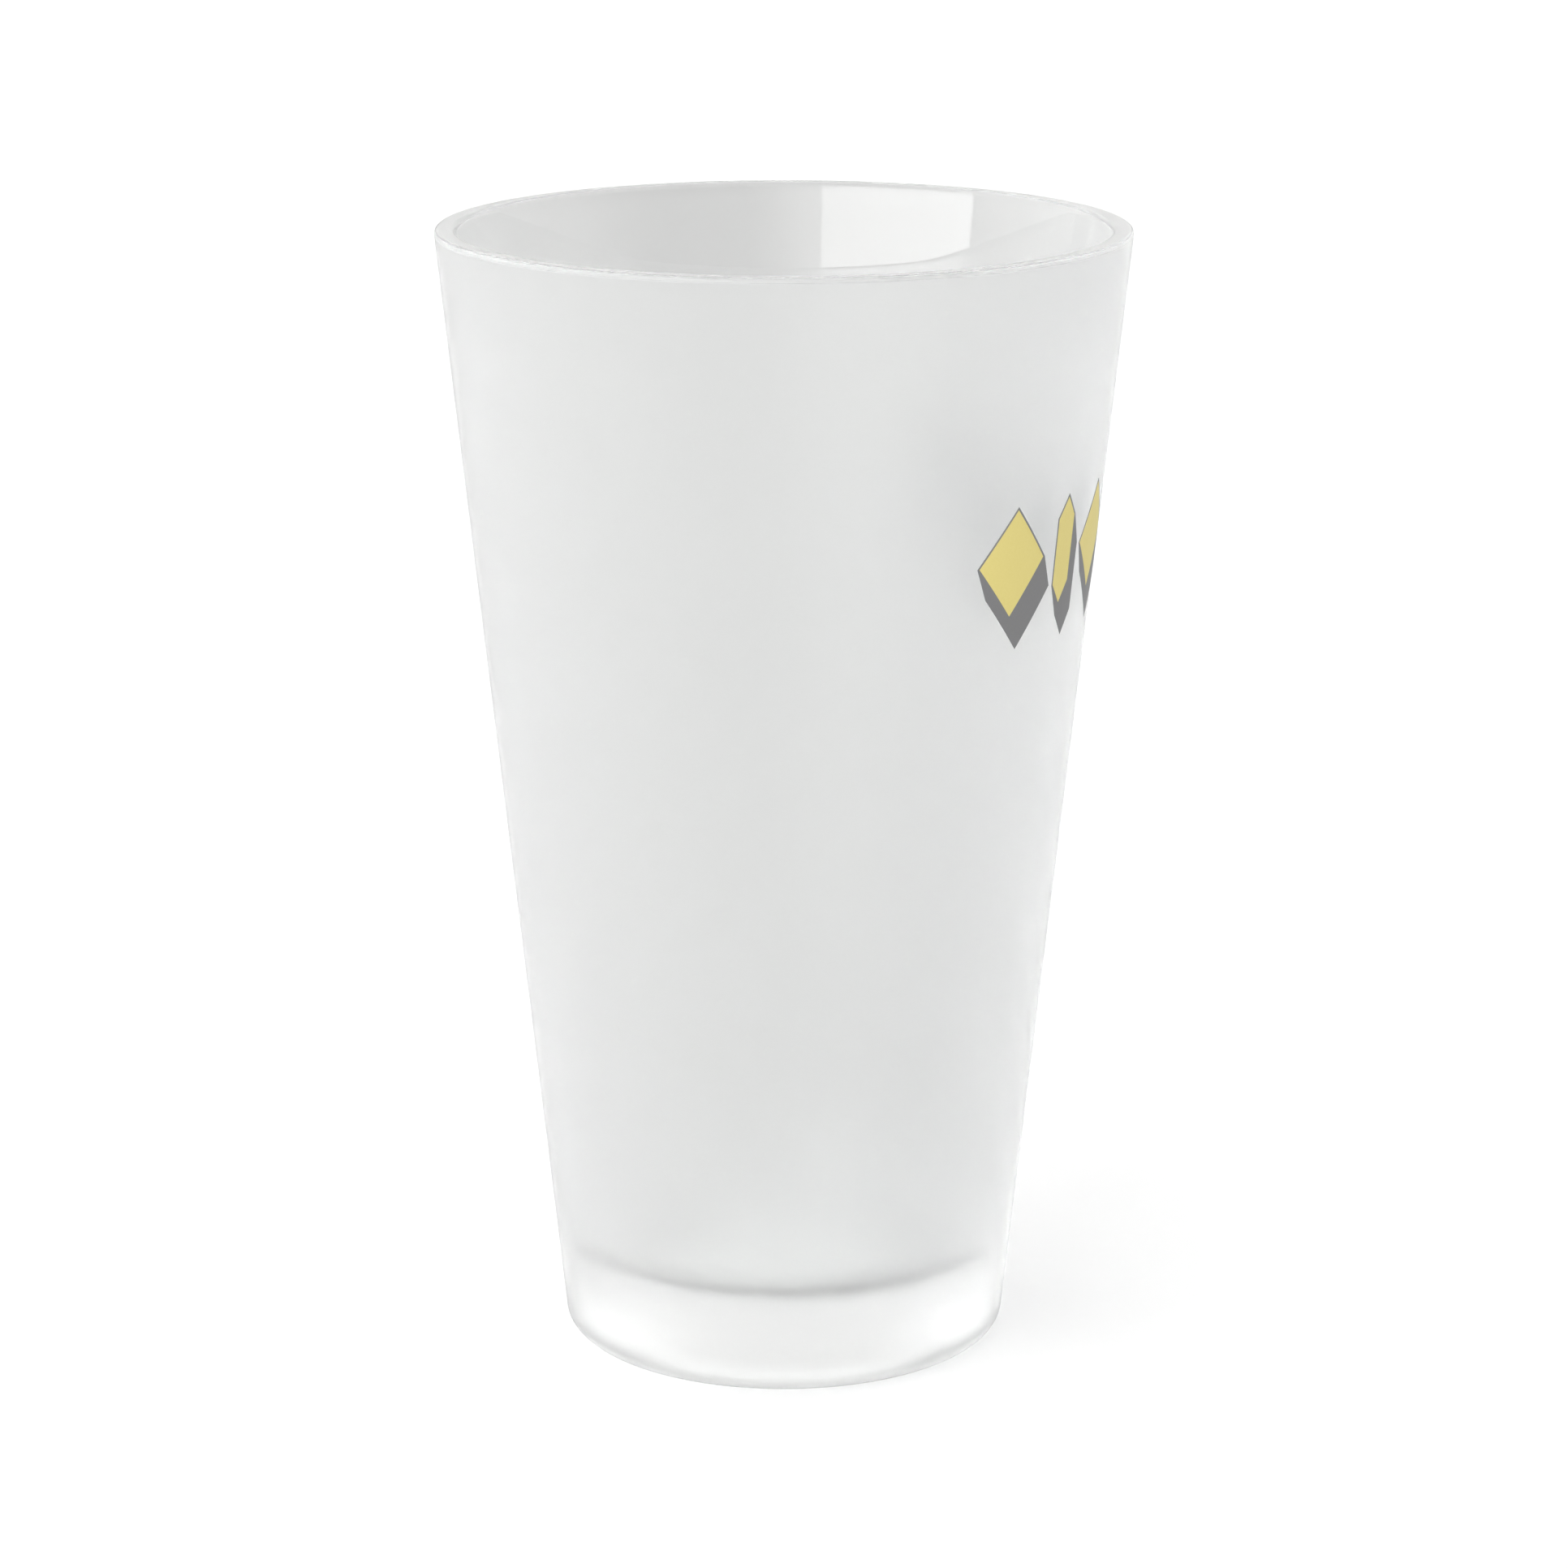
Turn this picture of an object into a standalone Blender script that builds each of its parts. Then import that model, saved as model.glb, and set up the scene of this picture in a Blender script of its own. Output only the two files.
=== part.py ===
"""Frosted pint glass, the straight-sided shaker pattern, with a printed band on one side.

The glass body is one pressed piece with a thick base and a clear, fire-polished rim. A sprayed
frosted coat covers its outside from just under the rim to just above the table. A row of inked
lozenges, each a yellow face with a grey block shadow, is printed on the coat, centred on +X.
The origin is the middle of the base on the table, with +Z up, and the sizes are in metres.
"""

import math

import bmesh
import bpy

# Outer shape of the whole glass.
HEIGHT = 0.148
FOOT_RADIUS = 0.02912  # where the line of the wall would meet the table
RIM_RADIUS = 0.04466  # where the line of the wall would reach the top of the rim
HEEL_ROUND = 0.0026
RIM_OUTER_ROUND = 0.00055
RIM_INNER_ROUND = 0.0008

# Inside of the glass, and its underside.
RIM_WALL = 0.0028
FLOOR_WALL = 0.0060
FLOOR_HEIGHT = 0.0090
FLOOR_ROUND = 0.010
PUNT_HEIGHT = 0.001
PUNT_RADIUS = 0.0205
RING_RADIUS = 0.0228  # inner edge of the ring that the glass stands on

# Frosted coat. The wall behind it is set back, so that the two solids keep a gap.
GAP = 0.0003
COAT = 0.0003
LIP = 0.00065  # height of the clear rim above the coat's recess
COAT_END_TURN = math.radians(-55)  # how far round the heel the coat reaches
RECESS_END_TURN = COAT_END_TURN - GAP / (HEEL_ROUND - COAT)

# Printed row, laid out along the girth of the glass at the height of its middle.
INK = 0.0003
PRINT_BOTTOM = 0.1033
PRINT_HEIGHT = 0.0137
PRINT_TURN = 0.0  # the middle of the row, measured round from +X
WIDE_FACE = 0.0116
SLIM_FACE = 0.0040
FACE_SPACE = 0.0030
SLIM_SHOULDER = 0.0026  # height of a slim lozenge's pointed ends
FACES_IN_ROW = 7
OUTLINE = 0.0003
SHADOW_RIGHT = 0.0013
SHADOW_DOWN = 0.0038
GIRTH_STEP = 0.0015  # the widest flat strip in a wrapped print

TURNS = 72  # facets round the glass

SLOPE = (RIM_RADIUS - FOOT_RADIUS) / HEIGHT
LEAN = math.atan(SLOPE)


def wall_radius(z, inset=0.0):
    """Outer radius at a height, on a surface that lies inset inside the outer wall."""
    return FOOT_RADIUS + SLOPE * z - inset / math.cos(LEAN)


def arc(centre, radius, start, end, steps):
    """Points from one angle to another on a circle in the radius-height plane."""
    turns = [start + (end - start) * i / steps for i in range(steps + 1)]
    return [(centre[0] + radius * math.cos(t), centre[1] + radius * math.sin(t)) for t in turns]


def rounded_corner(before, corner, after, radius, steps):
    """The arc that touches both sides of a corner, as points from the first side to the second."""
    into = (corner[0] - before[0], corner[1] - before[1])
    out = (after[0] - corner[0], after[1] - corner[1])
    start = math.atan2(into[1], into[0])
    turn = (math.atan2(out[1], out[0]) - start + math.pi) % math.tau - math.pi
    side = math.copysign(1.0, turn)
    reach = radius * math.tan(abs(turn) / 2)
    touch = (corner[0] - reach * math.cos(start), corner[1] - reach * math.sin(start))
    normal = start + side * math.pi / 2
    centre = (touch[0] + radius * math.cos(normal), touch[1] + radius * math.sin(normal))
    first = normal - math.pi
    return arc(centre, radius, first, first + turn, steps)


def rounded_line(corners):
    """A line through (radius, height, rounding, steps) corners, with its two ends left sharp."""
    points = [corners[0][:2]]
    for before, (r, z, rounding, steps), after in zip(corners, corners[1:], corners[2:]):
        points += rounded_corner(before[:2], (r, z), after[:2], rounding, steps)
    return points + [corners[-1][:2]]


def heel_arc(inset, start, end, steps):
    """Part of the rounded heel, on a surface that lies inset inside it."""
    centre = (wall_radius(HEEL_ROUND, HEEL_ROUND), HEEL_ROUND)
    return arc(centre, HEEL_ROUND - inset, start, end, steps)


def glass_profile():
    """The glass from the middle of its underside, out, up, over the rim and down the cavity."""
    recess = GAP + COAT
    lip = HEIGHT - LIP
    underside = rounded_line(
        [
            (0.0, PUNT_HEIGHT),
            (PUNT_RADIUS, PUNT_HEIGHT, 0.0015, 3),
            (RING_RADIUS, 0.0, 0.0008, 3),
            (wall_radius(HEEL_ROUND, HEEL_ROUND), 0.0),
        ]
    )
    heel_foot = heel_arc(0.0, -math.pi / 2, RECESS_END_TURN, 3)[1:]
    heel_recess = heel_arc(recess, RECESS_END_TURN, -LEAN, 4)
    lip_underside = [(wall_radius(lip, recess), lip)]
    top = rounded_line(
        [
            (wall_radius(lip), lip),
            (RIM_RADIUS, HEIGHT, RIM_OUTER_ROUND, 4),
            (RIM_RADIUS - RIM_WALL, HEIGHT, RIM_INNER_ROUND, 5),
            (wall_radius(FLOOR_HEIGHT) - FLOOR_WALL, FLOOR_HEIGHT, FLOOR_ROUND, 10),
            (0.0, FLOOR_HEIGHT),
        ]
    )
    return underside + heel_foot + heel_recess + lip_underside + top


def coat_profile():
    """The coat's section: up its outside, and back down the side that faces the glass."""
    top = HEIGHT - LIP - GAP
    outside = heel_arc(0.0, COAT_END_TURN, -LEAN, 4) + [(wall_radius(top), top)]
    inside = heel_arc(COAT, COAT_END_TURN, -LEAN, 4) + [(wall_radius(top, COAT), top)]
    return outside + inside[::-1]


def finish_material(name, colour, roughness, transmission=0.0):
    """A Principled material with the plain values of one finish."""
    material = bpy.data.materials.new(name)
    material.use_nodes = True
    material.diffuse_color = (*colour, 1.0)
    shader = material.node_tree.nodes["Principled BSDF"]
    shader.inputs["Base Color"].default_value = (*colour, 1.0)
    shader.inputs["Roughness"].default_value = roughness
    shader.inputs["Metallic"].default_value = 0.0
    shader.inputs["Transmission Weight"].default_value = transmission
    return material


def add_part(name, bm, material, sharp_angle):
    """Turns a finished bmesh into a named object with outward faces and smooth shading."""
    bmesh.ops.recalc_face_normals(bm, faces=bm.faces)
    mesh = bpy.data.meshes.new(name)
    bm.to_mesh(mesh)
    bm.free()
    mesh.shade_smooth()
    mesh.set_sharp_from_angle(angle=sharp_angle)
    mesh.materials.append(material)
    part = bpy.data.objects.new(name, mesh)
    bpy.context.scene.collection.objects.link(part)
    return part


def turned_part(name, profile, closed, material):
    """Spins a profile once round the upright axis. A closed profile joins its end to its start."""
    bm = bmesh.new()
    points = [bm.verts.new((r, 0.0, z)) for r, z in profile]
    edges = [bm.edges.new(pair) for pair in zip(points, points[1:])]
    if closed:
        edges.append(bm.edges.new((points[-1], points[0])))
    bmesh.ops.spin(
        bm,
        geom=points + edges,
        cent=(0.0, 0.0, 0.0),
        axis=(0.0, 0.0, 1.0),
        angle=math.tau,
        steps=TURNS,
        use_merge=True,
    )
    bmesh.ops.remove_doubles(bm, verts=bm.verts, dist=1e-6)
    return add_part(name, bm, material, math.radians(40))


def lozenge(middle, width, shoulder):
    """Corners of an upright lozenge in the print's flat plane, anticlockwise from its foot."""
    low = PRINT_BOTTOM
    high = PRINT_BOTTOM + PRINT_HEIGHT
    left, right = middle - width / 2, middle + width / 2
    corners = [
        (middle, low),
        (right, low + shoulder),
        (right, high - shoulder),
        (middle, high),
        (left, high - shoulder),
        (left, low + shoulder),
    ]
    if math.isclose(2 * shoulder, PRINT_HEIGHT):
        del corners[5], corners[2]
    return corners


def grown(corners, distance):
    """A convex outline moved outwards by a distance, with mitred corners."""
    lines = []
    for (ax, az), (bx, bz) in zip(corners, corners[1:] + corners[:1]):
        length = math.hypot(bx - ax, bz - az)
        outward = ((bz - az) / length, (ax - bx) / length)
        lines.append((*outward, outward[0] * ax + outward[1] * az + distance))
    moved = []
    for (n1x, n1z, d1), (n2x, n2z, d2) in zip(lines[-1:] + lines[:-1], lines):
        det = n1x * n2z - n2x * n1z
        moved.append(((d1 * n2z - d2 * n1z) / det, (n1x * d2 - n2x * d1) / det))
    return moved


def swept(corners, dx, dz):
    """The convex hull of an outline and its copy moved by (dx, dz): a block shadow."""
    points = sorted(corners + [(x + dx, z + dz) for x, z in corners])
    halves = []
    for row in (points, points[::-1]):
        half = []
        for x, z in row:
            while len(half) > 1:
                (ax, az), (bx, bz) = half[-2:]
                if (bx - ax) * (z - az) - (bz - az) * (x - ax) > 1e-12:
                    break
                half.pop()
            half.append((x, z))
        halves += half[:-1]
    return halves


def add_outline(bm, corners):
    """Adds a closed outline in the flat plane and returns its edges."""
    points = [bm.verts.new((x, 0.0, z)) for x, z in corners]
    return [bm.edges.new(pair) for pair in zip(points, points[1:] + points[:1])]


def wrap_on_glass(bm):
    """Bends the flat print round the coat: girth becomes a turn, and depth becomes radius."""
    reference = wall_radius(PRINT_BOTTOM + PRINT_HEIGHT / 2)
    for point in bm.verts:
        girth, depth, z = point.co
        turn = PRINT_TURN + girth / reference
        radius = wall_radius(z) + GAP + depth
        point.co = (radius * math.cos(turn), radius * math.sin(turn), z)


def printed_part(name, outlines, material):
    """One patch of ink, wrapped on the coat. A second outline is a hole in the first."""
    bm = bmesh.new()
    edges = [edge for outline in outlines for edge in add_outline(bm, outline)]
    bmesh.ops.triangle_fill(bm, edges=edges, use_beauty=True, normal=(0.0, -1.0, 0.0))
    girths = [point.co.x for point in bm.verts]
    strips = math.ceil((max(girths) - min(girths)) / GIRTH_STEP)
    for i in range(1, strips):
        cut = min(girths) + (max(girths) - min(girths)) * i / strips
        bmesh.ops.bisect_plane(
            bm,
            geom=bm.verts[:] + bm.edges[:] + bm.faces[:],
            dist=1e-7,
            plane_co=(cut, 0.0, 0.0),
            plane_no=(1.0, 0.0, 0.0),
        )
    raised = bmesh.ops.extrude_face_region(bm, geom=bm.faces[:], use_keep_orig=True)
    for item in raised["geom"]:
        if isinstance(item, bmesh.types.BMVert):
            item.co.y = INK
    wrap_on_glass(bm)
    return add_part(name, bm, material, math.radians(30))


def clear_scene():
    for old in list(bpy.data.objects):
        bpy.data.objects.remove(old)


def make_printed_row():
    """Alternates wide and slim lozenges along the girth, each with its block shadow."""
    yellow = finish_material("yellow_ink", (0.76, 0.66, 0.23), 0.45)
    grey = finish_material("grey_ink", (0.22, 0.22, 0.23), 0.45)
    widths = [SLIM_FACE if i % 2 else WIDE_FACE for i in range(FACES_IN_ROW)]
    start = -(sum(widths) + FACE_SPACE * (FACES_IN_ROW - 1)) / 2
    for i, width in enumerate(widths):
        shoulder = SLIM_SHOULDER if i % 2 else PRINT_HEIGHT / 2
        face = lozenge(start + width / 2, width, shoulder)
        block = swept(grown(face, GAP + OUTLINE), SHADOW_RIGHT, -SHADOW_DOWN)
        printed_part(f"ink_face_{i + 1}", [face], yellow)
        printed_part(f"ink_shadow_{i + 1}", [block, grown(face, GAP)], grey)
        start += width + FACE_SPACE


def make_pint_glass():
    clear_scene()
    clear_glass = finish_material("clear_glass", (0.97, 0.98, 0.98), 0.03, 0.95)
    frost = finish_material("frost", (0.90, 0.91, 0.91), 0.55, 0.6)
    turned_part("glass_tumbler", glass_profile(), False, clear_glass)
    turned_part("frosted_coat", coat_profile(), True, frost)
    make_printed_row()


make_pint_glass()
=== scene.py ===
# %% [markdown]
# # A frosted pint glass with a printed row of lozenges
#
# The real thing is three materials deep. A pressed glass body carries everything. A satin frost
# is sprayed on its outside and stops just under the rim, which stays clear and shiny. Two colours
# of ink are printed on the frost. This lesson makes each of them as its own surface, worked out
# with numpy, and hangs it on the packed model, which holds the true sizes.

# %% Load the frame
import math

import bmesh
import bpy
import numpy as np
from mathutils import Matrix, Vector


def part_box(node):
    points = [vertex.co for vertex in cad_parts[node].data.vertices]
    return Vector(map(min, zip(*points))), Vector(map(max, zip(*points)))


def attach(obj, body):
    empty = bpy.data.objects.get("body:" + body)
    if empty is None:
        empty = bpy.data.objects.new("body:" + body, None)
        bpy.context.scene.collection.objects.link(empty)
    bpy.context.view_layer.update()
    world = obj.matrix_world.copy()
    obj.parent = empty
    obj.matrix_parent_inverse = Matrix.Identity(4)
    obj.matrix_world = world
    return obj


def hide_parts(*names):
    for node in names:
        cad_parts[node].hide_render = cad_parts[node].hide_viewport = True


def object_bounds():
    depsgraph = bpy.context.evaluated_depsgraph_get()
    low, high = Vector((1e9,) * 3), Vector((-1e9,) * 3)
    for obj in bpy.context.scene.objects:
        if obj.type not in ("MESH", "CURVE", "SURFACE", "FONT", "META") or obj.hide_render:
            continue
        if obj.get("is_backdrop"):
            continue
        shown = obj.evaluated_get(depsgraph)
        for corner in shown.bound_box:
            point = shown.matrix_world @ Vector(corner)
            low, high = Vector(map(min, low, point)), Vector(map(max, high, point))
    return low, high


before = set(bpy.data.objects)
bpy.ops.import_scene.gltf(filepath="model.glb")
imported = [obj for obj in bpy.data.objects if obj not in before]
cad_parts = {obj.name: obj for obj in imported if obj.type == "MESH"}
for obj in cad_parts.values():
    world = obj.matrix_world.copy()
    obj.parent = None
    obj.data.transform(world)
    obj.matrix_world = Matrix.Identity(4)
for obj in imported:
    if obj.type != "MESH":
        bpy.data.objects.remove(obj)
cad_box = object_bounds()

print("solids in the frame:", len(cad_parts))
print("box in mm:", [[round(1000 * v, 2) for v in corner] for corner in cad_box])

# %% [markdown]
# ## The outline of the glass
#
# A straight-sided pint is a cone: its wall leans out by the same angle all the way up, so that
# glasses can be stacked and the mould can be drawn off. One straight line, from a radius at the
# table to a radius at the rim, therefore gives the whole outside. It could be traced as a free
# curve, but a line with two named ends can't wobble. The height comes from the frame. The two
# radii belong to the line before its corners are rounded, so no box can give them.

# %% The wall line
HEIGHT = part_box("glass_tumbler")[1].z
FOOT_RADIUS = 0.02912
RIM_RADIUS = 0.04466
SLOPE = (RIM_RADIUS - FOOT_RADIUS) / HEIGHT
LEAN = math.atan(SLOPE)


def wall_radius(z, inset=0.0):
    """Outer radius at a height, for a surface that lies inset behind the outer wall."""
    return FOOT_RADIUS + SLOPE * z - inset / math.cos(LEAN)


print(f"height {1000 * HEIGHT:.1f} mm, wall leans {math.degrees(LEAN):.2f} degrees")

# %% [markdown]
# ## Straight runs and arcs
#
# A turned shape needs only the half section that is spun round its axis, and that section is made
# of straight runs and arcs. A smooth surface blends its normals from one point to the next. With
# evenly spaced points each small round would bend the reflections far up the wall, so long runs
# get points that crowd towards both ends.


# %% Runs and arcs
def straight(start, end, steps):
    """Points at start + (end - start) * (1 - cos(pi i / n)) / 2, which crowd at both ends."""
    share = (1 - np.cos(np.linspace(0, math.pi, steps + 1))) / 2
    return np.asarray(start) + (np.asarray(end) - np.asarray(start)) * share[:, None]


def arc(centre, radius, start, end, steps):
    """Points at centre + radius * (cos a, sin a), for a from start to end."""
    a = np.linspace(start, end, steps + 1)
    return np.asarray(centre) + radius * np.stack([np.cos(a), np.sin(a)], axis=1)


print("crowded shares of a run:", np.round(straight((0, 0), (1, 0), 6)[:, 0], 3))

# %% [markdown]
# ## Rounded corners
#
# Molten glass can't hold a sharp corner, so the corners of the section are arcs. The arc that
# touches both sides starts at radius * tan(turn / 2) before the corner. Bevelling the finished
# mesh would also round it, but the arc can be placed exactly and gets as many points as it needs.


# %% Corners
CORNER_STEPS = 10


def rounded_corner(before, corner, after, radius, steps):
    """The arc that touches both sides of a corner, from the first side to the second."""
    before, corner, after = map(np.asarray, (before, corner, after))
    into = math.atan2(*(corner - before)[::-1])
    turn = (math.atan2(*(after - corner)[::-1]) - into + math.pi) % math.tau - math.pi
    side = math.copysign(math.pi / 2, turn)
    touch = corner - radius * math.tan(abs(turn) / 2) * np.array([math.cos(into), math.sin(into)])
    centre = touch + radius * np.array([math.cos(into + side), math.sin(into + side)])
    return arc(centre, radius, into - side, into - side + turn, steps)


def rounded_line(corners, spans):
    """Joins (radius, height, rounding) corners by arcs, and fills each span with a straight run."""
    pieces = [np.array([corners[0][:2]])]
    for before, corner, after in zip(corners, corners[1:], corners[2:]):
        pieces.append(rounded_corner(before[:2], corner[:2], after[:2], corner[2], CORNER_STEPS))
    pieces.append(np.array([corners[-1][:2]]))
    line = [pieces[0]]
    for left, right, steps in zip(pieces, pieces[1:], spans):
        line += [straight(left[-1], right[0], steps)[1:], right[1:]]
    return np.concatenate(line)


one_corner = rounded_line([(0, 0), (1, 0, 0.2), (1, 1)], [4, 4])
print("points on a line with one rounded corner:", len(one_corner))

# %% [markdown]
# ## From a grid of points to a closed piece
#
# Every surface here is a grid: one direction runs round, the other along the section. Where a row
# shrinks to a single point on the axis, its points are merged, which closes the pole. A skin over
# loose points could close any shape as well, but a grid keeps the faces in even rings, so the
# shading follows the shape.


# %% Grid to mesh
SAME_PLACE = 1e-8


def grid_faces(rows, columns, close_rows):
    """Quads of a grid whose columns wrap round, and whose rows wrap as well if close_rows."""
    i = np.arange(rows if close_rows else rows - 1)[:, None]
    j = np.arange(columns)[None, :]
    here, above, beside = i * columns, (i + 1) % rows * columns, (j + 1) % columns
    return np.stack([here + j, here + beside, above + beside, above + j], axis=-1).reshape(-1, 4)


def piece_from_grid(name, points, close_rows, finishes, finish_of_row=None):
    """Makes a closed, outward-facing object from points[row, column], with any poles merged."""
    rows, columns = points.shape[:2]
    faces = grid_faces(rows, columns, close_rows)
    mesh = bpy.data.meshes.new(name)
    mesh.from_pydata(points.reshape(-1, 3).tolist(), [], faces.tolist())
    for finish in finishes:
        mesh.materials.append(finish)
    if finish_of_row is not None:
        mesh.polygons.foreach_set("material_index", np.repeat(finish_of_row, columns))
    bm = bmesh.new()
    bm.from_mesh(mesh)
    bmesh.ops.remove_doubles(bm, verts=bm.verts, dist=SAME_PLACE)
    bmesh.ops.recalc_face_normals(bm, faces=bm.faces)
    bm.to_mesh(mesh)
    bm.free()
    mesh.shade_smooth()
    piece = bpy.data.objects.new(name, mesh)
    bpy.context.scene.collection.objects.link(piece)
    return piece


print("faces of a ring of 2 rows and 6 columns:", len(grid_faces(2, 6, False)))

# %% [markdown]
# ## Hanging and turning
#
# Each piece is fixed to the packed glass and stands in for one of its solids. The glass and its
# frost are turned shapes: one section is carried round the axis in many small, even steps. The
# Spin tool would do the same, but the formula is one line and gives the grid at once.


# %% Hang and turn
def hang(piece, node):
    """Fixes a piece to the glass and lets it stand in for a solid."""
    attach(piece, "root")
    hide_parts(node)
    print(f"{piece.name}: {len(piece.data.polygons)} faces")


TURNS = 288


def turned(profile):
    """Carries (radius, height) rows once round: each point is (r cos t, r sin t, z)."""
    t = np.arange(TURNS) * math.tau / TURNS
    r, z = profile[:, :1], profile[:, 1:]
    return np.stack([r * np.cos(t), r * np.sin(t), z + 0 * t], axis=-1)


print("each turned ring has", TURNS, "points, 1 every", 360 / TURNS, "degrees")

# %% [markdown]
# ## A grain that all the finishes share
#
# None of the surfaces is perfectly even. Pressed glass ripples by a few thousandths of a
# millimetre, sprayed frost is a bed of fine droplets, and screen ink dries with a slight tooth.
# All three are noise of different size and height, so one node group serves them all. It reads
# places on the object in metres, so a grain size can be given as a true length.


# %% Node helper
def put(tree, kind, inputs=(), **settings):
    """Adds a node, gives it its settings, and fills or links the inputs that are named."""
    made = tree.nodes.new(kind)
    for key, value in settings.items():
        setattr(made, key, value)
    for key, value in dict(inputs).items():
        if isinstance(value, bpy.types.NodeSocket):
            tree.links.new(value, made.inputs[key])
        else:
            made.inputs[key].default_value = value
    return made


print("node helper ready:", put.__doc__)

# %% [markdown]
# ## Building the grain group
#
# The group divides 1 by the grain size, which gives how many grains there are in a metre, and
# makes noise at that scale. The noise itself goes out as a mask, and a Bump node turns it into
# normals. The bump is given its height in metres, so its strength follows from the true size of
# the ripples. Noise added to the mesh itself would need millions of points for so fine a grain.

# %% Fine grain
grain = bpy.data.node_groups.new("fine_grain", "ShaderNodeTree")
grain.interface.new_socket("Place", in_out="INPUT", socket_type="NodeSocketVector")
grain.interface.new_socket("Grain Size", in_out="INPUT", socket_type="NodeSocketFloat")
grain.interface.new_socket("Grain Height", in_out="INPUT", socket_type="NodeSocketFloat")
grain.interface.new_socket("Mask", in_out="OUTPUT", socket_type="NodeSocketFloat")
grain.interface.new_socket("Normal", in_out="OUTPUT", socket_type="NodeSocketVector")
given = put(grain, "NodeGroupInput")
per_metre = put(grain, "ShaderNodeMath", {0: 1.0, 1: given.outputs["Grain Size"]}, operation="DIVIDE")
where = {"Vector": given.outputs["Place"], "Scale": per_metre.outputs[0]}
noise = put(grain, "ShaderNodeTexNoise", {**where, "Detail": 3.0, "Roughness": 0.6})
mask = noise.outputs["Fac"]
relief = put(grain, "ShaderNodeBump", {"Distance": given.outputs["Grain Height"], "Height": mask})
put(grain, "NodeGroupOutput", {"Mask": mask, "Normal": relief.outputs["Normal"]})
sockets = grain.interface.items_tree
print("group", grain.name, "gives", [socket.name for socket in sockets if socket.in_out == "OUTPUT"])

# %% [markdown]
# ## A finish is a base shader plus that grain
#
# The helper starts a material, puts the grain in with its size and height, and lets the grain
# shift the colour and the roughness between two close values. The values that don't vary are set
# straight on the shader, so that they are plain numbers in any program that reads the model.


# %% Finish helper
def grained_finish(name, grain_size, grain_height, colours, roughness, **constants):
    """A principled material whose colour and roughness run between two values with the grain."""
    finish = bpy.data.materials.new(name)
    finish.use_nodes = True
    tree = finish.node_tree
    place = put(tree, "ShaderNodeTexCoord").outputs["Object"]
    grained = put(tree, "ShaderNodeGroup", node_tree=grain)
    tree.links.new(place, grained.inputs["Place"])
    grained.inputs["Grain Size"].default_value = grain_size
    grained.inputs["Grain Height"].default_value = grain_height
    mask = grained.outputs["Mask"]
    colour = put(tree, "ShaderNodeMix", {"Factor": mask}, data_type="RGBA")
    colour.inputs["A"].default_value = (*colours[0], 1.0)
    colour.inputs["B"].default_value = (*colours[1], 1.0)
    ends = {"To Min": roughness[0], "To Max": roughness[1]}
    rough = put(tree, "ShaderNodeMapRange", {"Value": mask, **ends})
    shader = tree.nodes["Principled BSDF"]
    tree.links.new(colour.outputs["Result"], shader.inputs["Base Color"])
    tree.links.new(rough.outputs["Result"], shader.inputs["Roughness"])
    tree.links.new(grained.outputs["Normal"], shader.inputs["Normal"])
    for key, value in constants.items():
        shader.inputs[key.replace("_", " ")].default_value = value
    return finish


print("finish helper ready, grain group has", len(grain.nodes), "nodes")

# %% [markdown]
# ## Clear glass
#
# Soda-lime glass with an index of 1.5. The inside, the rim and the underside are bare and shiny,
# with only a slow, shallow ripple that the mould and the plunger leave. Perfectly even glass would
# be simpler, but its mirror images come out ruler-straight, which gives a render away.

# %% Clear glass
clear_glass = grained_finish(
    "polished_glass",
    grain_size=0.018,
    grain_height=4e-6,
    colours=[(0.982, 0.990, 0.987), (0.990, 0.994, 0.992)],
    roughness=(0.0, 0.01),
    IOR=1.5,
    Transmission_Weight=1.0,
)
glass_shader = clear_glass.node_tree.nodes["Principled BSDF"]
print("clear glass index:", glass_shader.inputs["IOR"].default_value)

# %% [markdown]
# ## Satin frost
#
# The frost is a sprayed lacquer with a fine, uneven face. It lets most light through but spreads
# it over a wide angle, as a rough surface that transmits does. A tenth is scattered as plain white,
# and a trace of sheen brings out the edges. A volume that scatters light could stand for the
# lacquer too, but it takes far longer to render, and the layer is too thin to need it.

# %% Frost
frost = grained_finish(
    "sprayed_frost",
    grain_size=0.00035,
    grain_height=1.2e-6,
    colours=[(0.925, 0.932, 0.932), (0.955, 0.960, 0.960)],
    roughness=(0.47, 0.53),
    IOR=1.5,
    Transmission_Weight=0.9,
    Sheen_Weight=0.05,
    Sheen_Roughness=0.3,
)
frost_shader = frost.node_tree.nodes["Principled BSDF"]
let_through = frost_shader.inputs["Transmission Weight"].default_value
print("share of light that the frost lets through:", round(let_through, 2))

# %% [markdown]
# ## Bonded faces
#
# Where the frost sits on the glass there is no air between them, and both bend light by about the
# same amount, so light crosses without bending or reflecting. The faces that meet there are in the
# mesh, because each piece is a closed body, but they are made fully see-through. Ordinary glass
# there would add two reflections that the real thing lacks.

# %% Bonded faces
bond = bpy.data.materials.new("bonded_face")
bond.use_nodes = True
bond_tree = bond.node_tree
bond_tree.nodes.remove(bond_tree.nodes["Principled BSDF"])
unseen = put(bond_tree, "ShaderNodeBsdfTransparent")
bond_tree.links.new(unseen.outputs[0], bond_tree.nodes["Material Output"].inputs["Surface"])
print("materials so far:", [material.name for material in (clear_glass, frost, bond)])

# %% [markdown]
# ## The underside and the heel
#
# The glass stands on a narrow flat ring. Inside it the middle is pressed up by a millimetre, so
# that a bump in the table can't make it rock. The ring turns into the wall through the heel, a
# round that doesn't chip as a sharp edge would. The frost, a film of 0.08 mm, starts part of the
# way up that round.

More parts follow.
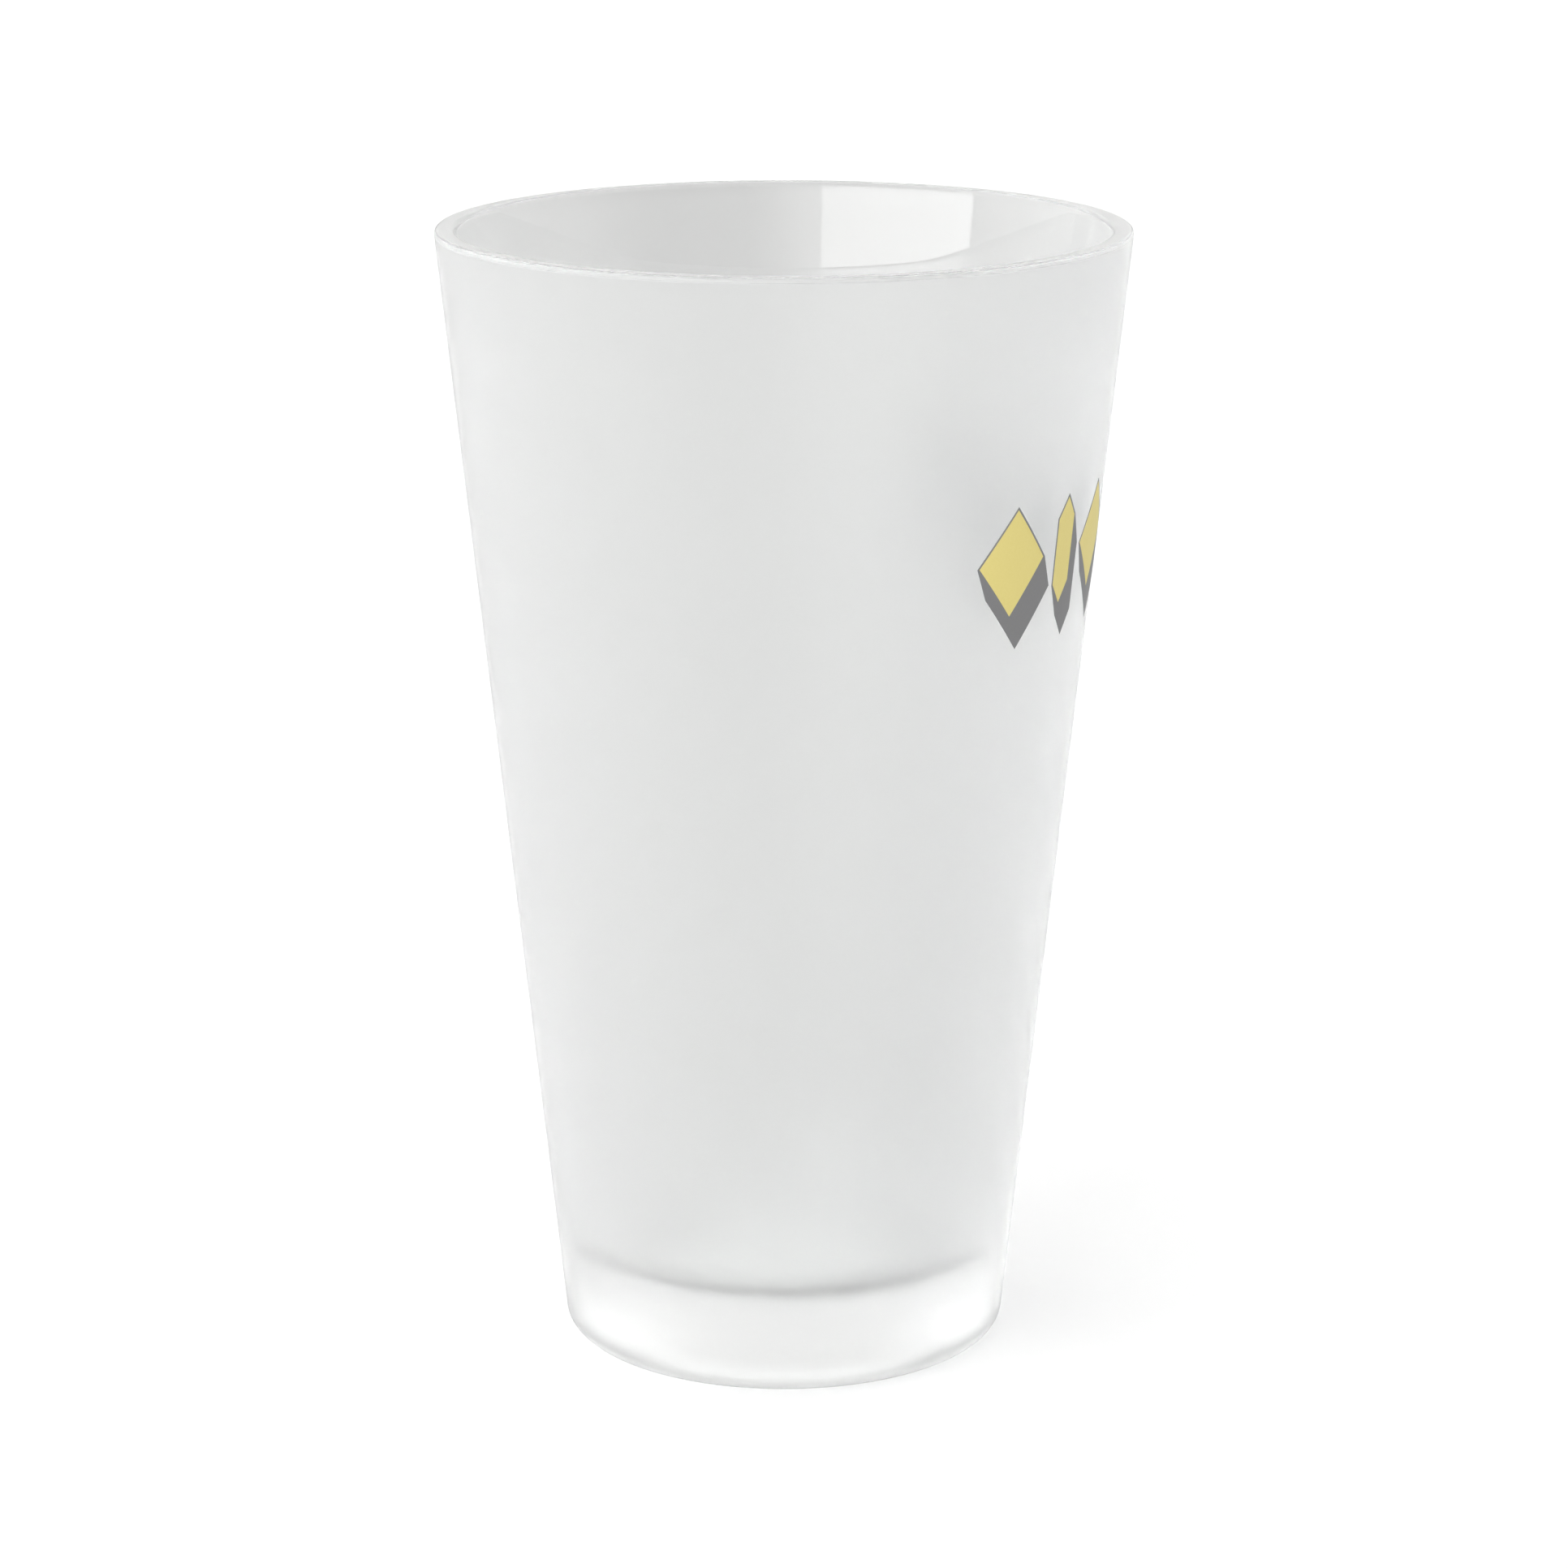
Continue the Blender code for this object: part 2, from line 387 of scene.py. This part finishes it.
# %% Underside and heel
PUNT_HEIGHT = 0.001
PUNT_RADIUS = 0.0205
PUNT_ROUND = 0.0015
RING_RADIUS = 0.0228
RING_ROUND = 0.0008
HEEL_ROUND = 0.0026
FILM = 0.00008
COAT_START = math.radians(-55)
STEPS_UNDER_THE_BASE = [10, 3, 6]
FOOT_STEPS = 6
HEEL_STEPS = 12
heel_centre = (wall_radius(HEEL_ROUND, HEEL_ROUND), HEEL_ROUND)
underside = rounded_line(
    [
        (0.0, PUNT_HEIGHT),
        (PUNT_RADIUS, PUNT_HEIGHT, PUNT_ROUND),
        (RING_RADIUS, 0.0, RING_ROUND),
        (heel_centre[0], 0.0),
    ],
    STEPS_UNDER_THE_BASE,
)
heel_foot = arc(heel_centre, HEEL_ROUND, -math.pi / 2, COAT_START, FOOT_STEPS)[1:]
heel_bond = arc(heel_centre, HEEL_ROUND - FILM, COAT_START, -LEAN, HEEL_STEPS)
print(f"standing ring from {1000 * RING_RADIUS:.1f} to {1000 * heel_centre[0]:.1f} mm in radius")

# %% [markdown]
# ## The wall and the rim
#
# The wall under the frost is set in by the thickness of the frost, so that glass and frost
# together have the true outline. The frost stops half a millimetre below the lip. Above it
# the glass steps out again and closes over in two small rounds. A little overspray lands on the
# outer of the two, so its first few rows of faces are frosted too. The top of the lip stays clear.

# %% Wall and rim
COAT_TOP = HEIGHT - 0.00058
RIM_OUTER_ROUND = 0.00055
RIM_INNER_ROUND = 0.0008
RIM_WALL = 0.0028
OVERSPRAY_ROWS = 6
WALL_STEPS = 40
wall_bond = straight(heel_bond[-1], (wall_radius(COAT_TOP, FILM), COAT_TOP), WALL_STEPS)[1:]
lip = [
    (wall_radius(COAT_TOP), COAT_TOP),
    (RIM_RADIUS, HEIGHT, RIM_OUTER_ROUND),
    (RIM_RADIUS - RIM_WALL, HEIGHT, RIM_INNER_ROUND),
]
print(f"frosted from {1000 * heel_bond[0][1]:.2f} to {1000 * COAT_TOP:.2f} mm in height")

# %% [markdown]
# ## The inside
#
# The wall thickens from the rim to the base, because the plunger that presses the inside has more
# taper than the mould. The last stretch below the lip flares a little more, and blends into the
# rest over a very large round, so that no line shows. At the bottom the wall runs through a wide
# round into a flat floor. That leaves a solid slab of glass under the drink, which gives the glass
# its weight.

# %% Inside
FLOOR_WALL = 0.0060
FLOOR_HEIGHT = 0.0090
FLOOR_ROUND = 0.010
MOUTH_DEPTH = 0.012
MOUTH_TAPER = math.radians(8.9)
MOUTH_BLEND = 0.15
mouth_radius = RIM_RADIUS - RIM_WALL - MOUTH_DEPTH * math.tan(MOUTH_TAPER)
cavity = [
    (mouth_radius, HEIGHT - MOUTH_DEPTH, MOUTH_BLEND),
    (wall_radius(FLOOR_HEIGHT) - FLOOR_WALL, FLOOR_HEIGHT, FLOOR_ROUND),
    (0.0, FLOOR_HEIGHT),
]
STEPS_OVER_THE_LIP = [1, 6]
STEPS_DOWN_THE_CAVITY = [12, 50, 14]
upper = rounded_line(lip + cavity, STEPS_OVER_THE_LIP + STEPS_DOWN_THE_CAVITY)
print(f"cavity is {1000 * (HEIGHT - FLOOR_HEIGHT):.0f} mm deep")

# %% [markdown]
# ## The glass body
#
# The whole section is one line from pole to pole. Turning it makes a body that is closed by
# itself, with no lid or seam to join. The rows of faces under the frost get the bonded finish, and
# so do the small steps at the frost's two ends.

# %% Glass body
profile = np.concatenate([underside, heel_foot, heel_bond, wall_bond, upper])
first_bonded = len(underside) + len(heel_foot) - 1
last_bonded = first_bonded + len(heel_bond) + len(wall_bond) + 1
body_finishes = [clear_glass, bond, frost]
finish_of_row = np.full(len(profile) - 1, body_finishes.index(clear_glass))
finish_of_row[first_bonded:last_bonded] = body_finishes.index(bond)
finish_of_row[last_bonded : last_bonded + OVERSPRAY_ROWS] = body_finishes.index(frost)
glass = piece_from_grid("glass_body", turned(profile), False, body_finishes, finish_of_row)
hang(glass, "glass_tumbler")

# %% [markdown]
# ## The frosted skin
#
# The frost is a thin shell over the heel and the wall. Its section runs up the outside and back
# down the inside, so it closes on itself. Only the outer rows carry the frost. The inner rows lie
# on the glass.

# %% Frosted skin
heel_outside = arc(heel_centre, HEEL_ROUND, COAT_START, -LEAN, HEEL_STEPS)
wall_outside = straight(heel_outside[-1], (wall_radius(COAT_TOP), COAT_TOP), WALL_STEPS)[1:]
outside = np.concatenate([heel_outside, wall_outside])
inside = np.concatenate([heel_bond, wall_bond])[::-1]
skin_finishes = [frost, bond]
finish_of_row = np.full(len(outside) + len(inside), skin_finishes.index(bond))
finish_of_row[: len(outside) - 1] = skin_finishes.index(frost)
skin_points = turned(np.concatenate([outside, inside]))
skin = piece_from_grid("frosted_skin", skin_points, True, skin_finishes, finish_of_row)
hang(skin, "frosted_coat")

# %% [markdown]
# ## Printing inks
#
# The print has two colours, a soft yellow and a mid grey. Ink for frosted glass dries satin and
# covers fully. Both inks have the same tooth, a little finer than the grain of the frost.

# %% Inks
ink_tooth = {"grain_size": 0.0003, "grain_height": 1.5e-6, "roughness": (0.42, 0.50)}
yellow_shades = [(0.82, 0.70, 0.23), (0.86, 0.74, 0.27)]
grey_shades = [(0.21, 0.21, 0.215), (0.235, 0.235, 0.24)]
yellow_ink = grained_finish("printed_yellow", colours=yellow_shades, **ink_tooth)
grey_ink = grained_finish("printed_grey", colours=grey_shades, **ink_tooth)
print("inks:", yellow_ink.name, grey_ink.name)

# %% [markdown]
# ## Shapes of the print
#
# Each figure is a lozenge with a block shadow, as if it were cut from a thick board and lit from
# the upper left. All these shapes are convex, so each is kept as its sides: the direction a side
# faces, and how far out it lies. Growing a shape then just adds to every distance. Sweeping it
# along a shift adds the two sides that run with the shift. Neither needs any search for corners.


# %% Sides of flat shapes
def sides_of(corners):
    """Outward unit normal of each side, and how far out the side lies along its normal."""
    along = np.roll(corners, -1, axis=0) - corners
    normal = np.stack([along[:, 1], -along[:, 0]], axis=1) / np.linalg.norm(along, axis=1)[:, None]
    return normal, (normal * corners).sum(axis=1)


def corners_of(sides):
    """Where each side crosses the next: the point that lies at both distances out."""
    normal, reach = sides
    pair = np.stack([normal, np.roll(normal, -1, axis=0)], axis=1)
    return np.linalg.solve(pair, np.stack([reach, np.roll(reach, -1)], axis=1)[:, :, None])[:, :, 0]


def grown(sides, distance):
    """The same shape with every side further out by a distance."""
    return sides[0], sides[1] + distance


def swept(sides, shift):
    """A shape swept along a shift: a side moves out by the part of the shift along its normal."""
    across = np.array([[-shift[1], shift[0]], [shift[1], -shift[0]]]) / np.hypot(*shift)
    normal = np.concatenate([sides[0], across])
    reach = np.concatenate([sides[1], (corners_of(sides) @ across.T).max(axis=0)])
    order = np.argsort(np.arctan2(normal[:, 1], normal[:, 0]))
    return normal[order], (reach + np.maximum(normal @ shift, 0))[order]


square = sides_of(np.array([(0, 0), (1, 0), (1, 1), (0, 1)]))
print("corners of a swept square:", len(corners_of(swept(square, np.array([0.3, -0.8])))))

# %% [markdown]
# ## Reading an outline from its middle
#
# A grid over a shape needs the same number of points on each of its outlines, however many
# corners they have. So an outline is read from the middle of the face: along each ray, the edge is
# where the first side is met. The rays are spread evenly, and one more goes through each corner,
# so that corners stay sharp.


# %% Rays and outlines
def rays_through(centre, shapes, count):
    """Sorted angles: count even ones, and the ones that point at a corner of any shape."""
    away = np.concatenate([corners_of(shape) for shape in shapes]) - centre
    to_corners = np.arctan2(away[:, 1], away[:, 0]) % math.tau
    angles = np.concatenate([np.linspace(0, math.tau, count, False), to_corners])
    return np.unique(np.round(angles, 6))


def outline_on_rays(sides, centre, angles):
    """Edge point on each ray: distance is the least of (side distance / cosine to its normal)."""
    least_cosine = 1e-9
    normal, reach = sides
    ray = np.stack([np.cos(angles), np.sin(angles)])
    facing = normal @ ray
    gap = (reach - normal @ centre)[:, None]
    along_ray = gap / np.maximum(facing, least_cosine)
    distance = np.where(facing > least_cosine, along_ray, np.inf).min(axis=0)
    return centre + (distance * ray).T


print("rays for the square:", len(rays_through(np.array([0.5, 0.5]), [square], 24)))

# %% [markdown]
# ## Laying ink on the glass
#
# Ink is a layer of about a third of the thickness of a sheet of paper, here 0.03 mm, and it follows
# the cone exactly. A flat cut-out pressed onto the glass would stand off it at the sides. So the
# flat figure is wrapped: its girth becomes a turn round the axis, and the radius is read from the
# wall line. The layer is a loop of rows, out over the top and back underneath, with a softened
# edge. Each row gives how far out it lies, as a share of the way from the inner to the outer edge,
# and how high, as a share of the layer. The underside can have another ink than the top.

# %% Ink layer
INK_FLOAT = 0.00001
INK_LAYER = 0.00003
PRINT_BOTTOM = 0.1033
PRINT_HEIGHT = 0.0137
ROWS_ACROSS = 12
TOP_OF_FACE = 0.997
TOP_OF_RING = (0.01, 0.99)
EDGE_LIFT = 0.6
print_radius = wall_radius(PRINT_BOTTOM + PRINT_HEIGHT / 2)
across = straight((0.0, 1.0), (1.0, 1.0), ROWS_ACROSS)
edge = np.array([(1.0, EDGE_LIFT), (1.0, 0.0)])
back = across[-2::-1] * (1.0, 0.0)
over_and_back = np.concatenate([across * (TOP_OF_FACE, 1.0), edge, back])
ring_top = (TOP_OF_RING[0], 0.0) + across * (TOP_OF_RING[1] - TOP_OF_RING[0], 1.0)
closed_loop = np.concatenate([ring_top, edge, back, [(0.0, EDGE_LIFT)]])


def ink_piece(name, inner, outer, section, close_rows, over, under):
    """Point = inner + share (outer - inner), out from the wall by lift, turned by girth / radius."""
    share, lift = section[:, 0, None], section[:, 1, None]
    girth = inner[:, 0] + (outer[:, 0] - inner[:, 0]) * share
    z = inner[:, 1] + (outer[:, 1] - inner[:, 1]) * share
    radius = wall_radius(z, -(INK_FLOAT + INK_LAYER * lift))
    turn = girth / print_radius
    points = np.stack([radius * np.cos(turn), radius * np.sin(turn), z], axis=-1)
    lifted = (lift[:, 0] > 0).astype(int)
    finish_of_row = 1 - np.maximum(lifted, np.roll(lifted, -1))
    if not close_rows:
        finish_of_row = finish_of_row[:-1]
    return piece_from_grid(name, points, close_rows, [over, under], finish_of_row)


print("rows in a face:", len(over_and_back), "rows in a block shadow:", len(closed_loop))

# %% [markdown]
# ## The printed row
#
# Wide and slim lozenges take turns along the girth. Each yellow face is edged by a quarter of a
# millimetre of grey, which hides the small misfit between the two passes of the screen. The grey
# widens into the block shadow to the lower right. The grey piece is a ring round the face, not a
# sheet under it, because the two inks are printed side by side. The faces have a grey underside,
# so that the print seen through the glass is grey, with no yellow in it.

# %% Printed row
FIGURES = 7
WIDE_FACE = 0.0116
SLIM_FACE = 0.0040
FACE_SPACE = 0.0030
SLIM_SHOULDER = 0.0026
GREY_EDGE = 0.00025
BLOCK_SHIFT = np.array([0.00165, -0.0041])
EVEN_RAYS = 120
widths = np.where(np.arange(FIGURES) % 2, SLIM_FACE, WIDE_FACE)
row_length = widths.sum() + FACE_SPACE * (FIGURES - 1)
middles = np.cumsum(widths + FACE_SPACE) - FACE_SPACE - widths / 2 - row_length / 2
low, high = PRINT_BOTTOM, PRINT_BOTTOM + PRINT_HEIGHT
mid = (low + high) / 2
half = WIDE_FACE / 2
wide_shape = np.array([(0, low), (half, mid), (0, high), (-half, mid)])
half = SLIM_FACE / 2
slim_right = [(0, low), (half, low + SLIM_SHOULDER), (half, high - SLIM_SHOULDER)]
slim_left = [(0, high), (-half, high - SLIM_SHOULDER), (-half, low + SLIM_SHOULDER)]
slim_shape = np.array(slim_right + slim_left)
for i, middle in enumerate(middles):
    centre = np.array([middle, mid])
    face = sides_of((slim_shape if i % 2 else wide_shape) + (middle, 0))
    block = swept(grown(face, GREY_EDGE), BLOCK_SHIFT)
    angles = rays_through(centre, [face, block], EVEN_RAYS)
    face_edge = outline_on_rays(face, centre, angles)
    block_edge = outline_on_rays(block, centre, angles)
    pole = np.tile(centre, (len(angles), 1))
    painted = ink_piece(f"lozenge_{i + 1}", pole, face_edge, over_and_back, False, yellow_ink, grey_ink)
    hang(painted, f"ink_face_{i + 1}")
    shaded = ink_piece(f"block_shadow_{i + 1}", face_edge, block_edge, closed_loop, True, grey_ink, grey_ink)
    hang(shaded, f"ink_shadow_{i + 1}")
print(f"row is {1000 * row_length:.1f} mm along the girth, radius there {1000 * print_radius:.2f} mm")

# %% [markdown]
# ## The table
#
# A large, plain, matt white sheet. Seen directly it's close to pure white. The light that it sends
# into the glass is held lower, so that it doesn't wash out the shades of the wall. Right under the
# base the sheet carries painted light: its tone is made lighter there because it lies in the shadow
# of the glass, and the thick base would look dull otherwise. The painted light fades out from the
# inside of the base outwards.

# %% Table
TABLE_RADIUS = 6.0
TABLE_SIDES = 128
TABLE_IN_GLASS = 0.39
PAINTED_LIGHT_UNDER_GLASS = 0.62
TABLE_SEEN = (0.700, 0.702, 0.707, 1.0)
PAINTED_LIGHT_WITHIN = 0.022
PAINTED_LIGHT_GONE_BEYOND = 0.050
t = np.arange(TABLE_SIDES) * math.tau / TABLE_SIDES
ring = np.stack([TABLE_RADIUS * np.cos(t), TABLE_RADIUS * np.sin(t), 0 * t], axis=1)
mesh = bpy.data.meshes.new("table")
mesh.from_pydata(ring.tolist(), [], [list(range(len(ring)))])
table = bpy.data.objects.new("table", mesh)
bpy.context.scene.collection.objects.link(table)
paper = bpy.data.materials.new("table_paper")
paper.use_nodes = True
sheet = paper.node_tree
shader = sheet.nodes["Principled BSDF"]
shader.inputs["Roughness"].default_value = 0.9
shader.inputs["Specular IOR Level"].default_value = 0.0
place = put(sheet, "ShaderNodeTexCoord").outputs["Object"]
from_axis = put(sheet, "ShaderNodeVectorMath", {0: place}, operation="LENGTH").outputs["Value"]
# Painted light: rays other than the camera's see the sheet lighter under the base, where the glass shades
# it.
blend = {"From Min": PAINTED_LIGHT_WITHIN, "From Max": PAINTED_LIGHT_GONE_BEYOND}
blend |= {"To Min": PAINTED_LIGHT_UNDER_GLASS, "To Max": TABLE_IN_GLASS}
sent_with_painted_light = put(sheet, "ShaderNodeMapRange", {"Value": from_axis, **blend}).outputs[0]
seen = put(sheet, "ShaderNodeLightPath").outputs["Is Camera Ray"]
tone = put(sheet, "ShaderNodeMix", {"Factor": seen}, data_type="RGBA")
sheet.links.new(sent_with_painted_light, tone.inputs["A"])
tone.inputs["B"].default_value = TABLE_SEEN
sheet.links.new(tone.outputs["Result"], shader.inputs["Base Color"])
mesh.materials.append(paper)
table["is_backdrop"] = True
print("table is", 2 * TABLE_RADIUS, "m across")

# %% [markdown]
# ## Directions in the studio
#
# The light comes from a few large soft panels far away, so it depends only on direction. Each
# direction is turned into two angles: how far round it is from the front, positive to the right,
# and how high it is above the table.

# %% Studio directions
world = bpy.data.worlds.new("studio")
bpy.context.scene.world = world
world.use_nodes = True
sky = world.node_tree
sky.nodes.clear()
axes = put(sky, "ShaderNodeSeparateXYZ", {0: put(sky, "ShaderNodeTexCoord").outputs["Generated"]})


def maths(operation, *inputs):
    """The result of one math node on numbers or sockets."""
    return put(sky, "ShaderNodeMath", dict(enumerate(inputs)), operation=operation).outputs[0]


toward_front = maths("MULTIPLY", axes.outputs["Y"], -1.0)
DEGREES = 180 / math.pi
round_angle = maths("MULTIPLY", maths("ARCTAN2", axes.outputs["X"], toward_front), DEGREES)
height_angle = maths("MULTIPLY", maths("ARCSINE", axes.outputs["Z"]), DEGREES)
print("direction nodes:", len(sky.nodes))

# %% [markdown]
# ## Soft panels
#
# A panel is bright between two angles round and two angles up, and fades over a margin at its
# edges. The window on the left front has sharp upright edges, which show in the polished inside
# of the glass. Between the panels the light grows smoothly from the horizon upwards. One panel has
# a negative strength: it takes some light away between the front and the right wall, so that the
# polished inside has something dark to mirror.
#
# A row of the table below reads: left angle and margin, right angle and margin, bottom angle, top
# angle, margin of both, strength.


# %% Panels
def step_at(value, edge_angle, margin, rising):
    """Goes smoothly from 0 to 1, or back to 0, within a margin either side of an edge angle."""
    ends = {"From Min": edge_angle - margin, "From Max": edge_angle + margin}
    ends |= {"To Min": 0.0 if rising else 1.0, "To Max": 1.0 if rising else 0.0}
    step = put(sky, "ShaderNodeMapRange", {"Value": value, **ends}, interpolation_type="SMOOTHSTEP")
    return step.outputs[0]


def panel(left, left_margin, right, right_margin, bottom, top, end_margin, strength):
    """Strength inside a box of directions, and 0 outside it."""
    from_left = step_at(round_angle, left, left_margin, True)
    from_right = step_at(round_angle, right, right_margin, False)
    from_below = step_at(height_angle, bottom, end_margin, True)
    from_above = step_at(height_angle, top, end_margin, False)
    across = maths("MULTIPLY", from_left, from_right)
    upwards = maths("MULTIPLY", from_below, from_above)
    return maths("MULTIPLY", maths("MULTIPLY", across, upwards), strength)


LOW_LIGHT = {"From Min": 1.0, "To Min": 0.53}
HIGH_LIGHT = {"From Max": 61.0, "To Max": 1.12}
rise = {"Value": height_angle, **LOW_LIGHT, **HIGH_LIGHT}
light = put(sky, "ShaderNodeMapRange", rise, interpolation_type="SMOOTHSTEP").outputs[0]
PANELS = {
    "left wall": (-144, 12, -75, 12, -30, 60, 10, 1.3),
    "window": (-73, 0.8, -14, 0.8, -30, 38, 15, 4.6),
    "beside the window": (-14, 0.8, 1, 13, -30, 45, 15, 1.6),
    "right wall": (67, 20, 148, 16, -30, 60, 12, 0.85),
    "back wall, right": (141, 14, 200, 14, 4.5, 20, 2, 0.2),
    "back wall, left": (-200, 14, -154, 14, 4.5, 20, 2, 0.2),
    "dark right of the front": (-9, 20, 66, 25, -30, 26, 15, -0.5),
}
for sizes in PANELS.values():
    light = maths("ADD", light, panel(*sizes))
light = maths("MAXIMUM", light, 0.0)
print("panels:", ", ".join(PANELS))

# %% [markdown]
# ## The backdrop
#
# Rays that come straight from the camera see a plain white backdrop. All other rays see the
# panels, whose light is very slightly warm.

# %% Backdrop
panels = put(sky, "ShaderNodeBackground", {"Color": (1.0, 0.997, 0.99, 1.0), "Strength": light})
backdrop = put(sky, "ShaderNodeBackground", {"Color": (1.0, 1.0, 1.0, 1.0), "Strength": 1.0})
straight_on = put(sky, "ShaderNodeLightPath").outputs["Is Camera Ray"]
both = put(sky, "ShaderNodeMixShader", {0: straight_on, 1: panels.outputs[0], 2: backdrop.outputs[0]})
put(sky, "ShaderNodeOutputWorld", {"Surface": both.outputs[0]})
print("studio nodes:", len(sky.nodes))

# %% [markdown]
# ## The camera
#
# A long lens from arm's length away, a little above the rim and looking down by 15 degrees, so
# that the far rim and the inside of the mouth show.

# %% Camera
LENS = 107.67
CAMERA_AWAY = 0.59716
CAMERA_UP = 0.23241
LOOKS_DOWN = math.radians(14.836)
camera_data = bpy.data.cameras.new("camera")
camera_data.lens = LENS
camera_data.sensor_width = 36.0
camera = bpy.data.objects.new("camera", camera_data)
camera.location = (0.0, -CAMERA_AWAY, CAMERA_UP)
camera.rotation_euler = (math.pi / 2 - LOOKS_DOWN, 0.0, 0.0)
scene = bpy.context.scene
scene.collection.objects.link(camera)
scene.camera = camera
scene.view_settings.view_transform = "Standard"
print("camera is", round(1000 * CAMERA_AWAY), "mm in front of the axis")

# %% [markdown]
# ## Following light through glass
#
# A straight look through the two walls crosses four faces of glass, and in the thick base light
# can be reflected many times before it leaves. The usual limits on bounces, and on how bright
# indirect light may be, would throw part of it away and make the glass too dark.

# %% Light paths
paths = scene.cycles
paths.max_bounces = 24
paths.transmission_bounces = 24
paths.transparent_max_bounces = 32
paths.glossy_bounces = 16
paths.diffuse_bounces = 6
paths.sample_clamp_indirect = 0.0
paths.blur_glossy = 0.0
print("bounces:", paths.max_bounces, "through clear faces:", paths.transparent_max_bounces)

# %% [markdown]
# ## Check the size
#
# The visual pieces have replaced the solids, so their box must still be the box of the solids.

made_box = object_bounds()
change = 1000 * (np.array(made_box) - np.array(cad_box))
print("change in mm:", np.round(change, 3).tolist())
